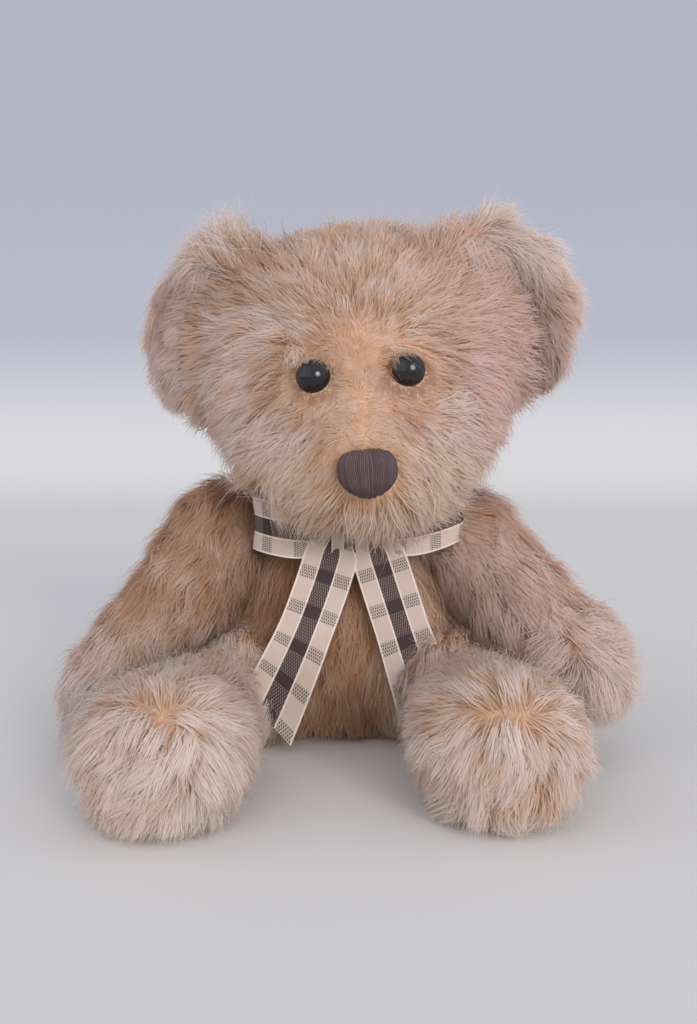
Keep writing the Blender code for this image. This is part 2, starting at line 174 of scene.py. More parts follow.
def baked(piece):
    """Takes what the piece's modifiers make of it as its own mesh."""
    graph = bpy.context.evaluated_depsgraph_get()
    made = bpy.data.meshes.new_from_object(piece.evaluated_get(graph))
    old, piece.data = piece.data, made
    piece.modifiers.clear()
    bpy.data.meshes.remove(old)
    return made


def beside(*columns):
    """The columns side by side, as rows. A plain number is a column that is the same all down."""
    return np.stack(np.broadcast_arrays(*columns), axis=-1)


def length_of(rows):
    """How long each row is."""
    return np.linalg.norm(rows, axis=-1)


def unit(rows):
    """The rows drawn to a length of one."""
    return rows / np.maximum(length_of(rows)[..., None], 1e-9)


def step(low, high, values):
    """0 below low, 1 above high, and smooth between them; the other way round if low is the greater."""
    share = np.clip((values - low) / (high - low), 0, 1)
    return share * share * (3 - 2 * share)


def weld(piece, reach):
    """Points nearer to each other than this become one point once the piece is baked."""
    piece.modifiers.new("weld", "WELD").merge_threshold = reach


SKIN_NET = 0.0045  # the size of a skin's faces before they are rounded off


def even_net(piece):
    """Meshes the piece anew with even faces."""
    net = piece.modifiers.new("even net", "REMESH")
    net.mode = "VOXEL"
    net.voxel_size = SKIN_NET
    return baked(piece)


def blank(node):
    """The solid's shape as one even net, for a skin to start from."""
    piece = put(node + "_skin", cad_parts[node].data.copy())
    weld(piece, 0.00001)
    even_net(piece)
    return piece


def tree_of(points):
    """The points, ready for a search of the nearest."""
    tree = KDTree(len(points))
    for number, place in enumerate(points):
        tree.insert(place, number)
    tree.balance()
    return tree


def nearest_of(points, others):
    """How far each point is from the nearest of some other points."""
    tree = tree_of(others)
    return np.array([tree.find(place)[2] for place in points])


STUFFING_PUSH = 4.0
STUFFING_STEPS = 20
STUFFING_REACH = 0.003  # how far the stuffing may move the skin
SEAM, SEAM_END = 0.005, 0.011  # this near to a neighbour it is sewn on, and from here on it has its full nap
SEAT_NAP, SEAT_END = 0.3, 0.014  # the share of its nap left on the floor, and the height that has all of it
SKIN_LOWEST = 0.0015


def stuffed(node, nap, sewn_to, seam_nap, backing):
    """Draws a blank in by the depth of its pile, but not where it is sewn on, and blows it up.

    The blank moves inwards along its normals by the nap, which falls off towards the floor and towards
    the pieces it is sewn to. Its cloth is then pushed out from inside step by step, and what each point
    has moved is cut off at the stuffing's reach.
    """
    skin = blanks[node]
    mesh = skin.data
    start, out = places(mesh), places(mesh, "vector", mesh.vertex_normals)
    apart = np.ones(len(start))
    for other in sewn_to:
        apart = np.minimum(apart, nearest_of(start, blank_points[other]))
    free = step(SEAM, SEAM_END, apart)
    depth = seam_nap + (nap(start) - seam_nap) * free
    depth *= SEAT_NAP + (1 - SEAT_NAP) * step(0.0, SEAT_END, start[:, 2])
    mesh.vertices.foreach_set("co", (start - out * depth[:, None]).ravel())
    mesh = even_net(skin)
    start = places(mesh)
    cloth = skin.modifiers.new("stuffing", "CLOTH")
    cloth.settings.quality = 4
    cloth.settings.use_pressure = True
    cloth.settings.uniform_pressure_force = STUFFING_PUSH
    cloth.settings.effector_weights.gravity = 0
    for count in range(1, STUFFING_STEPS + 1):
        bpy.context.scene.frame_set(count)
    move = places(baked(skin)) - start
    far = length_of(move)[:, None]
    move *= np.minimum(1, STUFFING_REACH / np.maximum(far, 1e-9))
    start = start + move
    bpy.context.scene.frame_set(1)
    start[:, 2] = np.maximum(start[:, 2], SKIN_LOWEST)
    skin.data.vertices.foreach_set("co", start.ravel())
    round_off = skin.modifiers.new("round", "SUBSURF")
    round_off.levels = round_off.render_levels = 1
    mesh = baked(skin)
    mesh.shade_smooth()
    mesh.materials.clear()
    mesh.materials.append(backing)
    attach(skin, "root")
    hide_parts(node)
    return skin


backing, where = finish("knitted_backing", {"Roughness": 0.9})
knit_scale = 900.0
ribs = where.node("ShaderNodeTexWave", {}, {"Vector": where, "Scale": knit_scale / 2, "Distortion": 2.0})
soil = where.noise(where, 60.0, 4.0)
soil.rise(0.3, 0.7).colour(srgb(216, 184, 154), srgb(200, 168, 140)).into("Base Color")
(ribs + where.noise(where, knit_scale)).bump(0.5, 0.0004)


# Where the pile is short: over the bridge of the nose, and round the eyes and the nose.
WHORL = np.array([0.0046, -0.0212, 0.1489])
EYES = np.array([[-0.0099, -0.0240, 0.1380], [0.0221, -0.0240, 0.1401]])
NOSE_AT = np.array([0.0083, -0.0400, 0.1056])


def line_gap(points, start, end):
    """The vector from the nearest place on a straight line to each point."""
    along = end - start
    share = np.clip((points - start) @ along / (along @ along), 0, 1)
    return points - (start + share[:, None] * along)


def off_bridge(points):
    """How far each point is from the line from between the eyes down to the nose."""
    return length_of(line_gap(points, WHORL, NOSE_AT))


def off_eyes(points):
    """How far each point is from the nearer eye."""
    return length_of(points[:, None] - EYES).min(axis=1)


def near_face(points):
    """1 on the bridge, by the eyes and round the nose, falling to 0 about two centimetres away."""
    return np.maximum(1 - step(0.005, 0.020, off_bridge(points)), 1 - step(0.007, 0.018, off_eyes(points)))


LONG_NAP, EAR_NAP, FACE_NAP, ARMPIT_NAP = 0.0080, 0.0060, 0.0030, 0.0030
EAR_SLACK = 0.009  # how far the corners of the ears have sunk
SEAM_NAP, EAR_SEAM_NAP = 0.0005, -0.0015  # an ear's seam lies just inside the head's skin
blanks = {}
for node in ("torso", "head", "ear_left", "ear_right", "arm_left", "arm_right", "leg_left", "leg_right"):
    blanks[node] = blank(node)
blank_points = {node: places(piece.data) for node, piece in blanks.items()}
for node in ("ear_left", "ear_right"):
    tip = blank_points[node]
    slack = step(0.054, 0.044, tip[:, 0]) + 0.4 * step(0.064, 0.084, tip[:, 0])
    tip[:, 2] -= EAR_SLACK * slack * step(0.168, 0.202, tip[:, 2])
    blanks[node].data.vertices.foreach_set("co", tip.ravel())


def armpit_nap(points, others):
    """Less under the arms, where the torso and the arms press on each other."""
    return ARMPIT_NAP + (LONG_NAP - ARMPIT_NAP) * step(0.010, 0.030, nearest_of(points, others))


def torso_nap(points):
    return armpit_nap(points, np.concatenate([blank_points["arm_left"], blank_points["arm_right"]]))


def arm_nap(points):
    return armpit_nap(points, blank_points["torso"])


def leg_nap(points):
    return np.full(len(points), LONG_NAP)


def ear_nap(points):
    """The left ear fills its solid more at its outer edge."""
    across, _, up = points.T
    return EAR_NAP - 0.0022 * step(0.060, 0.076, across) * step(0.148, 0.165, up)


def head_nap(points):
    return LONG_NAP + (FACE_NAP - LONG_NAP) * near_face(points)


body_parts = ["head", "arm_left", "arm_right", "leg_left", "leg_right"]
skins = {
    "torso": stuffed("torso", torso_nap, body_parts, SEAM_NAP, backing),
    "head": stuffed("head", head_nap, ["torso", "ear_left", "ear_right"], SEAM_NAP, backing),
}
for side in ("left", "right"):
    skins["ear_" + side] = stuffed("ear_" + side, ear_nap, ["head"], EAR_SEAM_NAP, backing)
    skins["arm_" + side] = stuffed("arm_" + side, arm_nap, ["torso"], SEAM_NAP, backing)
    skins["leg_" + side] = stuffed("leg_" + side, leg_nap, ["torso"], SEAM_NAP, backing)


# The eyes: black plastic safety eyes, each a polished dome with a ribbed shank that goes through the
# face and is locked by a plastic washer behind it. Years of handling have scuffed the domes finely.
EYE_RADIUS, EYE_DOME, EYE_EDGE = 0.0060, 0.0055, 0.0007
SHANK_RADIUS, SHANK_LENGTH, SHANK_RINGS = 0.0018, 0.0120, 5
EYE_SEATS = {
    "left": (np.array([0.02223, -0.02190, 0.14008]), np.array([0.046, -0.983, 0.179])),
    "right": (np.array([-0.00991, -0.02190, 0.13801]), np.array([-0.069, -0.983, 0.172])),
}


def grid_faces(rows, columns, tube=False):
    """The four-sided faces of a grid of points, closed from its last column to its first if tube."""
    row, column = np.meshgrid(np.arange(rows - 1), np.arange(columns - (not tube)), indexing="ij")
    after = (column + 1) % columns
    corners = [row * columns + column, row * columns + after]
    corners += [(row + 1) * columns + after, (row + 1) * columns + column]
    return beside(*corners).reshape(-1, 4)


def eye_line():
    """Radius and height down the eye: a quarter ellipse, a thin edge, then the shank and its rings."""
    fall = np.linspace(0, np.pi / 2, 15)
    dome = beside(EYE_RADIUS * np.sin(fall), EYE_DOME * np.cos(fall))
    edge = [(EYE_RADIUS, -EYE_EDGE), (EYE_RADIUS - 0.0004, -EYE_EDGE - 0.0002), (SHANK_RADIUS, -0.0009)]
    pitch = SHANK_LENGTH / (SHANK_RINGS + 1)
    ring = np.array([(0.0, 0.0), (0.0004, -0.3), (0.0004, -0.45), (0.0, -0.5)]) * (1, pitch)
    rings = [ring + (SHANK_RADIUS, -0.0009 - pitch * (0.4 + k)) for k in range(SHANK_RINGS)]
    tip = -0.0008 - SHANK_LENGTH
    end = [(SHANK_RADIUS, tip + 0.0006), (0.0008, tip), (0.0, tip)]
    return np.concatenate([dome, edge, *rings, end])


def turned(line, seat, aim, steps):
    """The line carried round the aim: at each step its radius goes out and its height along the aim."""
    aim = unit(aim)
    side = unit(np.cross(aim, (0, 0, 1)))
    turn = -np.arange(steps) / steps * 2 * np.pi
    spoke = np.cos(turn)[:, None] * side + np.sin(turn)[:, None] * np.cross(aim, side)
    return seat + line[:, None, :1] * spoke + line[:, None, 1:] * aim


def closed_up(piece, crease):
    """Merges points that coincide at a pole, and keeps edges sharper than the crease as edges."""
    weld(piece, 0.000001)
    mesh = baked(piece)
    mesh.shade_smooth()
    mesh.set_sharp_from_angle(angle=crease)


eye_black, where = finish("eye_black", {"Specular IOR Level": 0.5})
scuffs = where.noise(where, 900.0, 4.0).rise(0.52, 0.74)
scuffs.colour(srgb(22, 19, 21), srgb(42, 37, 38)).into("Base Color")
(0.05 + 0.20 * scuffs).into("Roughness")
washer_white, where = finish("washer_white", {"Specular IOR Level": 0.4})
mould = where.noise(where, 700.0, 3.0)
mould.colour(srgb(196, 193, 184), srgb(218, 215, 206)).into("Base Color")
(0.42 + 0.2 * mould).into("Roughness")
EYE_STEPS = 56
for side, (seat, aim) in EYE_SEATS.items():
    points = turned(eye_line(), seat, aim, EYE_STEPS)
    eye = new_mesh("safety_eye_" + side, points, grid_faces(len(points), EYE_STEPS, tube=True), eye_black)
    closed_up(eye, math.radians(35))
    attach(eye, "root")
    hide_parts("eye_" + side)
    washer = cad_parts["eye_washer_" + side]
    for slot in washer.material_slots:
        slot.material = washer_white


# The nose: a padded cushion covered edge to edge with upright satin stitches of dark brown thread, each
# a little apart in tone. It is broad above and drawn in below, and its rim turns down into the pile.
NOSE_SEAT = np.array([0.00833, -0.03263, 0.10557])
NOSE_ACROSS, NOSE_UP = np.array([0.998, 0.0, 0.065]), np.array([-0.065, 0.0, 0.998])
NOSE_WIDTH, NOSE_HEIGHT, NOSE_THICK = 0.0200, 0.0163, 0.0095
STITCHES, STITCH_RIDGE = 34, 0.00020


def there_and_back(front, back):
    """Rows that go over the front and back again over the reverse."""
    return np.concatenate([front, back[:, ::-1]], axis=1)


def sleeve_faces(rows, width):
    """The faces of a flat tube: rows of points over its front and back again over its reverse.

    Its two ends are closed by faces from each front point to the point of the reverse behind it.
    """
    near = np.arange(width - 1)
    start = beside(near + 1, near, 2 * width - 1 - near, 2 * width - 2 - near)
    end = start[:, [1, 0, 3, 2]] + 2 * width * (rows - 1)
    return np.concatenate([grid_faces(rows, 2 * width, tube=True), start, end])


def nose_shell(u, v, ridge, rim):
    """Front: the square of u and v drawn to a disc, squarer above than below, and domed forwards.

    The depth falls as the root of one less the cubed radius, and the ridge lifts it. The reverse is
    the same disc, flat and a little smaller. Gives across, out and up from the nose's seat.
    """
    x, y = u * np.sqrt(1 - v * v / 2), v * np.sqrt(1 - u * u / 2)
    radius = np.clip(np.hypot(x, y), 1e-9, 1)
    power = np.where(y > 0, 3.1, 1.9)
    out = (np.abs(x / radius) ** power + np.abs(y / radius) ** power) ** (-1 / power)
    x, y = x * out * (1 - 0.10 * np.clip(-y, 0, 1)), y * out * (1 + rim)
    deep = (0.34 + 0.66 * np.sqrt(1 - radius**3)) * (1 + ridge / NOSE_THICK)
    half = np.array([NOSE_WIDTH / 2, NOSE_THICK, NOSE_HEIGHT / 2])
    front = beside(x * (1 + ridge / half[0]), deep, y) * half
    back = beside(0.86 * x, 0.02, 0.86 * y) * half
    return there_and_back(front, back)


rng = np.random.default_rng(21)
columns, rows = 6 * STITCHES + 1, 26
u, v = np.meshgrid(np.linspace(-1, 1, columns), np.linspace(1, -1, rows))
stitch = (u + 1) / 2 * STITCHES
number = np.minimum(stitch.astype(int), STITCHES - 1)
ridge = STITCH_RIDGE * rng.uniform(0.7, 1.3, STITCHES)[number] * np.abs(np.sin(np.pi * stitch))
stitch_end = 0.030 * rng.uniform(-1, 1, (2, STITCHES))
stitch_end[1, 14] = -0.09  # one stitch stops short at the top
rim = stitch_end[(v > 0).astype(int), number] * np.abs(v) ** 8
local = nose_shell(u, v, ridge, rim)
points = NOSE_SEAT + local[..., :1] * NOSE_ACROSS - local[..., 1:2] * (0, 1, 0) + local[..., 2:] * NOSE_UP
nose_satin, where = finish("nose_satin", {"Specular IOR Level": 0.3})
nose = new_mesh("stitched_nose", points, sleeve_faces(rows, columns), nose_satin)
laid = beside(stitch, v, 0.0)
tell(nose.data, "laid", there_and_back(laid, laid))
across, down, _ = where.told("laid")
own = across.maths("FLOOR")
tone = own.node("ShaderNodeTexWhiteNoise", {"noise_dimensions": "1D"}, {"W": own}, 0)
worn = where.noise(where, 420.0, 3.0).rise(0.45, 0.75)
groove = across.fract().away(0.5)
shade = tone.colour(srgb(82, 62, 62), srgb(106, 84, 83))
# painted shade: the grooves between the stitches are darkened nearly to black
shade = (groove.rise(0.22, 0.46) * 0.9).colour(shade, srgb(44, 31, 33))
shade = (worn * 0.20).colour(shade, srgb(122, 100, 98))
shade.into("Base Color")
(0.45 + 0.25 * worn).into("Roughness")
twist = ((down * 30.0 + across * 0.8) * 6.283).maths("SINE")
(twist + where.noise(where, 2600.0, 2.0)).bump(0.35, 0.00008)
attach(nose, "root")
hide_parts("nose")


# The ribbon: one length of woven check, 20 mm wide with bright selvedges, tied round the neck. It is
# gathered to half its width in the collar and the knot, and its tails lie pressed on the belly's pile.
RIBBON_WIDTH, RIBBON_THICK, RIBBON_LENGTH = 0.0200, 0.0004, 0.53
KNOT_AT, NECK_AT = np.array([0.0026, 0.0035, 0.0810]), np.array([0.0021, 0.0385, 0.0885])
NECK_ROUND, COLLAR_WIDTH, KNOT_WIDTH = 0.029, 0.0100, 0.0135  # radius of the collar, and gathered widths
ACROSS = 17  # points across the front of the ribbon, and across its reverse
share = np.linspace(-0.5, 0.5, ACROSS)


def run_of(middle, over, width, lift, start):
    """A run of ribbon along its middle line, as a flat tube of rows, and its place in the weave.

    A front point lies width times its share from the middle line along over, and the lift off it
    along the run's normal. The reverse lies one thickness behind. The weave is the length so far and
    the share across. Gives the points, the weave, the run without lift or thickness, and the normals.
    """
    along = np.gradient(middle, axis=0)
    normal = unit(np.cross(along, over))[:, None]
    flat = middle[:, None] + over[:, None] * (width[:, None] * share)[..., None]
    front = flat + normal * (lift + RIBBON_THICK / 2)[..., None]
    back = flat + normal * (lift - RIBBON_THICK / 2)[..., None]
    length = start + np.concatenate([[0], np.cumsum(length_of(np.diff(middle, axis=0)))])
    weave = beside(length[:, None], share + 0.5, 0.0)
    normal = np.broadcast_to(normal, flat.shape)
    return there_and_back(front, back), there_and_back(weave, weave), flat, normal


def pinched(place):
    """Width as a share of the flat ribbon, going out of the knot."""
    return 0.42 + 0.58 * np.sin(np.clip(place, 0, 1) * np.pi / 2)


PLEAT_HEIGHT = 0.0012
LOOP_START = 0.0045  # where in the check a loop begins


def pleats(gathered):
    """Two and a half waves across, as high as the width is gathered."""
    return PLEAT_HEIGHT * (1 - gathered)[:, None] * np.cos(5 * np.pi * share)


def collar_run():
    """A circle round the neck, higher at the nape, from one side of the knot to the other."""
    turn = np.linspace(0.08, 2 * np.pi - 0.08, 121)
    ahead = -NECK_ROUND * np.cos(turn)
    middle = NECK_AT + beside(NECK_ROUND * np.sin(turn), ahead, ahead * math.tan(math.radians(11)))
    ripple = 0.4 * np.sin(3 * turn)[:, None] + 0.3 * np.sin(7 * turn)[:, None]
    lift = 0.0010 * np.cos(5 * np.pi * share + ripple)
    over = np.tile((0.0, 0.0, 1.0), (len(turn), 1))
    return run_of(middle, over, np.full_like(turn, COLLAR_WIDTH), lift, 0.0)


def loop_run(side, reach, rise):
    """Out from the knot and back in: half a figure of eight, swept back round the chest and lifted."""
    place = np.linspace(0.02, 0.98, 81)
    out, fold = np.sin(np.pi * place), np.sin(2 * np.pi * place)
    ahead = -0.0055 * fold + 0.010 * out * out
    middle = KNOT_AT + beside(side * reach * out, ahead, rise * out * out)
    over = unit(beside(0.0, 0.12 * fold, 1.0))
    gathered = pinched(1.5 * out)
    lift = pleats(gathered) + 0.0005 * (out**4)[:, None] * np.cos(2 * np.pi * share)
    return run_of(middle, over, RIBBON_WIDTH * gathered, lift, LOOP_START)


TAIL_CUT = 0.65  # how much higher the outer corner of a cut end is, by the width between them


def tail_run(side, length, apart, spread, bend, start):
    """Down from the knot, outwards by a power of the length, forward over the belly, to a slanting cut."""
    place = np.linspace(0.0, 1.0, 91)
    out = apart + spread * place**bend
    lean = spread * bend * np.maximum(place, 1e-6) ** (bend - 1)
    belly = -0.003 - 0.0025 * (1 - np.cos(np.pi * np.clip(place * 1.4, 0, 1)))
    belly = belly + 0.0007 * place * np.sin(11 * place + side)
    middle = KNOT_AT + beside(side * out, belly, -length * place - 0.001)
    over = unit(beside(length, 0.0, side * lean))
    gathered = pinched(9 * place)
    flutter = np.cos(2 * np.pi * share + 4 * place[:, None])
    lift = pleats(gathered) + 0.0006 * place[:, None] * flutter
    run = run_of(middle, over, RIBBON_WIDTH * gathered, lift, start)
    cut = TAIL_CUT * np.clip(2 * place - 1, 0, 1)[:, None]
    for points in (run[0], run[2]):
        points[..., 2] -= cut * (middle[:, None, 0] - points[..., 0]) * side
    return run


def knot_run():
    """A short run up over the front of the knot and down behind it, crowned and pleated."""
    turn = np.linspace(-0.95, 0.95, 49) * np.pi
    middle = KNOT_AT + beside(0.0, -0.0050 * np.cos(turn), 0.0060 * np.sin(turn))
    crown = -0.0016 * (2 * share) ** 4 + 0.0004 * np.cos(5 * np.pi * share)
    lift = crown + 0 * turn[:, None]
    over = np.tile((1.0, 0.0, 0.0), (len(turn), 1))
    return run_of(middle, over, np.full_like(turn, KNOT_WIDTH), lift, 0.0)


CHECK = 0.0138  # from one bar of the check to the next
runs = [
    collar_run(),
    loop_run(1, reach=0.0430, rise=0.0070),
    loop_run(-1, reach=0.0365, rise=0.0035),
    tail_run(1, length=0.068, apart=0.0085, spread=0.0220, bend=1.0, start=CHECK / 2 - 0.0126),
    tail_run(-1, length=0.067, apart=0.0055, spread=0.0255, bend=1.25, start=CHECK / 2 - 0.0149),
    knot_run(),
]


def of_runs(which):
    """One of the four things that a run gives, for all the runs, as rows."""
    return np.concatenate([run[which].reshape(-1, 3) for run in runs])


before = np.cumsum([0] + [run[0].shape[0] * 2 * ACROSS for run in runs])
faces = np.concatenate([sleeve_faces(len(run[0]), ACROSS) + n for run, n in zip(runs, before)])

checked, where = finish("checked_weave", {"Specular IOR Level": 0.3, "Sheen Weight": 0.1})
ribbon = new_mesh("checked_ribbon", of_runs(0), faces, checked)
tell(ribbon.data, "weave", of_runs(1))
ribbon.data.set_sharp_from_angle(angle=math.radians(50))
length, side_share, _ = where.told("weave")

off_middle = side_share.away(0.5)
dark_band = 1.0 - off_middle.rise(0.148, 0.158)
selvedge = off_middle.rise(0.462, 0.472)
bright_line = (1.0 - off_middle.away(0.168).rise(0.010, 0.018)).maths("MAXIMUM", selvedge)
bar = 1.0 - (length / CHECK).fract().away(0.5).rise(0.160, 0.178)
pick = length / 0.00105  # rows of small ticks, every second one moved by half
tick_row = 1.0 - pick.fract().away(0.5).rise(0.34, 0.46)
tick = (side_share * 23.5 + 0.5 * pick.maths("FLOOR")).fract().away(0.5)
dark_tick = (1.0 - tick.rise(0.27, 0.35)) * tick_row
pale_tick = (1.0 - tick.rise(0.14, 0.24)) * tick_row
aged = where.noise(where, 55.0, 4.0).rise(0.35, 0.75)
cream = (aged * 0.6).colour(srgb(204, 184, 172), srgb(188, 166, 150))
tone = (bar * dark_tick * 0.9).colour(cream, srgb(76, 68, 68))
dark = ((1.0 - bar) * pale_tick * 0.70).colour(srgb(62, 46, 46), srgb(156, 136, 130))
tone = dark_band.colour(tone, dark)
tone = (bright_line * 0.8).colour(tone, srgb(232, 218, 204))
tone.into("Base Color")
(0.62 + 0.2 * aged).into("Roughness")
warp = (side_share * 314.0).maths("SINE")  # fifty threads across, and as close along
weft = (length * 15700.0).maths("SINE")
(warp * weft + 2.0 * bright_line).bump(0.30, 0.00010)
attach(ribbon, "root")
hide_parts("neck_ribbon")


# The pile: long fibres brushed out of the backing, golden at the root and cream at the tip, matted
# in locks by years of handling. It is short on the bridge of the nose and round the eyes.
HAIR_WIDTH, THICK_FROM = 0.00038, 0.012  # a hair shorter than this is thinner as well
HAIR_SHAPE = np.array([0.85, 1.0])  # width at the root and half way
BEND = np.array([1.0, 0.45])  # how much of its rise a hair keeps in each half
SOFTNESS = 0.96  # how far a blade is shaded as the surface of the pile, and not by its own turn
LOOSE, UNDER = 0.12, 0.34  # the shares of the hairs that keep to themselves, and of the undercoat
LOOSE_LONG, UNDER_LONG = 1.10, 0.72  # their length and their rise, by those of the other hairs
LOOSE_RISE, UNDER_RISE = 1.45, 1.25
LOOSE_HOLD, UNDER_HOLD = 0.15, 0.30  # how far their lock draws them in
PULL = (0.0, 0.45, 1.0)  # the lock's hold at the root, half way and at the tip
FRAY = 0.0006  # how far the edges of neighbouring locks mix
CELL_HIGH = 2.4  # the height of a hair's cell in the bake map, by its width
FLOOR_GAP, FLOOR_LAYER = 0.0004, 0.0006  # the pile on the floor lies this far above it, and is this deep


def along_skin(rows, out):
    """The part of each vector that lies along the skin, one long."""
    return unit(rows - out * (rows * out).sum(axis=1, keepdims=True))


def drift(points, size, rng):
    """A smooth random number from -1 to 1 at each point: eight waves of about this length, added."""
    ways = unit(rng.normal(size=(8, 3))) * rng.uniform(0.6, 1.6, (8, 1)) * 2 * np.pi / size
    return np.clip(np.sin(points @ ways.T + rng.uniform(0, 7, 8)).sum(axis=1) / 3, -1, 1)


def on_skin(skin, count, share, rng):
    """Random places on a skin, in order of its triangles and by area times share, with the normals."""
    mesh = skin.data
    mesh.calc_loop_triangles()
    corner = np.empty(3 * len(mesh.loop_triangles), int)
    mesh.loop_triangles.foreach_get("vertices", corner)
    corner = corner.reshape(-1, 3)
    spot, out = places(mesh)[corner], places(mesh, "vector", mesh.vertex_normals)[corner]
    area = length_of(np.cross(spot[:, 1] - spot[:, 0], spot[:, 2] - spot[:, 0]))
    run = np.cumsum(area * share(spot.mean(axis=1), unit(out.mean(axis=1))))
    pick = np.searchsorted(run, (np.arange(count) + rng.random(count)) / count * run[-1])
    first, second = np.sqrt(rng.random(count)), rng.random(count)
    weight = beside(1 - first, first * (1 - second), first * second)[:, :, None]
    return (spot[pick] * weight).sum(axis=1), unit((out[pick] * weight).sum(axis=1))


def lock_of(points, size):
    """The number of each point's lock: the nearest middle, one middle off centre in each lattice cell."""
    cell = np.floor(points / size)
    nearest, number = np.full(len(points), np.inf), np.zeros(len(points))
    scatter = np.array([[12.9, 78.2, 37.7], [39.3, 11.1, 83.2], [73.1, 52.2, 9.4]])
    for offset in np.ndindex(3, 3, 3):
        at = cell + np.array(offset) - 1
        jolt = np.sin(at @ scatter.T) * 43758.5 % 1 - 0.5
        gap = ((points / size - at - 0.5 - 0.8 * jolt) ** 2).sum(axis=1)
        closer = gap < nearest
        nearest = np.where(closer, gap, nearest)
        number = np.where(closer, at @ (1.0, 1009.0, 1009.0**2), number)
    return np.unique(number, return_inverse=True)[1]


def mean_of(values, group):
    """The mean of the rows of each group."""
    count = np.bincount(group)
    return beside(*(np.bincount(group, column) / count for column in values.T))


def turned_on(way, out, angle):
    """Each way turned about its normal by its angle."""
    return way * np.cos(angle)[:, None] + np.cross(out, way) * np.sin(angle)[:, None]


def combed(root, out, lay, long, rise, curl, sag, hug):
    """Three points along each hair: two equal steps that lean from the normal over to the lay.

    The lay turns by the curl from step to step. Each step is drawn down by the sag, and in again by as
    much as a skin of the radius hug has curved away under it.
    """
    path = [root]
    for k, bend in enumerate(BEND):
        side = turned_on(lay, out, curl * (k - 0.5))
        way = np.cos(rise * bend)[:, None] * side + np.sin(rise * bend)[:, None] * out
        way -= (long * (k + 0.5) / 2 / hug)[:, None] * out
        way[:, 2] -= sag * (k + 0.5)
        path.append(path[-1] + unit(way) * (long / 2)[:, None])
    return np.stack(path, axis=1)


def blades(name, path, out, roll, width, hair, region, finish_of_it):
    """Each hair as a flat tapering blade of a quad and a triangle, its broad side outwards.

    A blade's edge runs across its own way and across the skin's normal, turned by its roll. Its shading
    follows the pile's surface. Each blade has its own cell in the bake map, root to tip, so that its
    colours are kept apart from the others'.
    """
    count = len(path)
    way = unit(np.diff(path, axis=1))
    edge = unit(np.cross(way, out[:, None]))
    edge = edge * np.cos(roll)[:, None, None] + np.cross(way, edge) * np.sin(roll)[:, None, None]
    half = edge * (width[:, None] / 2 * HAIR_SHAPE)[..., None]
    pairs = np.stack([path[:, :2] - half, path[:, :2] + half], axis=2).reshape(count, 4, 3)
    points = np.concatenate([pairs, path[:, 2:]], axis=1)
    own_corners = np.array([0, 1, 3, 2, 2, 3, 4])
    corners = own_corners + 5 * np.arange(count)[:, None]
    mesh = bpy.data.meshes.new(name)
    mesh.vertices.add(5 * count)
    mesh.vertices.foreach_set("co", points.ravel())
    mesh.loops.add(7 * count)
    mesh.loops.foreach_set("vertex_index", corners.ravel())
    mesh.polygons.add(2 * count)
    starts = np.array([0, 4]) + 7 * np.arange(count)[:, None]
    mesh.polygons.foreach_set("loop_start", starts.ravel())
    mesh.update(calc_edges=True)
    mesh.shade_smooth()
    face = np.cross(edge, way)[:, [0, 0, 1, 1, 1]]
    shaded = unit(SOFTNESS * out[:, None] + (1 - SOFTNESS) * face)
    mesh.normals_split_custom_set_from_vertices(shaded.reshape(-1, 3))
    mesh.materials.append(finish_of_it)
    along = np.array([0, 0, 0.5, 0.5, 1.0])
    told = np.concatenate([np.tile(along[:, None], (count, 1, 1)), np.repeat(hair[:, None], 5, 1)], axis=2)
    tell(mesh, "hair", told)
    told = np.repeat(region, 5, axis=0)
    tell(mesh, "region", told[:, :3])
    mesh.attributes.new("shade", "FLOAT", "POINT").data.foreach_set("value", told[:, 3].ravel())
    columns = int(np.ceil(np.sqrt(CELL_HIGH * count)))
    rows = int(np.ceil(count / columns))
    number = np.arange(count)
    cell = beside(number % columns, number // columns)[:, None]
    inside = beside([0.15, 0.85, 0.15, 0.85, 0.5], 0.04 + 0.92 * along)
    atlas = (cell + inside[own_corners]) / (columns, rows)
    mesh.uv_layers.new(name="OFBake").data.foreach_set("uv", atlas.ravel())
    return put(name, mesh)


LET_THROUGH = 0.66  # the share of the light that a fibre lets through
GOLD, ROSE, SOIL = srgb(246, 214, 168), srgb(240, 216, 209), srgb(204, 174, 146)
# painted shade: the brown that the shade attribute mixes into the pile round the eyes, in the ears' creases,
# and on parts of the forehead and the chest
PAINTED_SHADE = srgb(158, 100, 68)


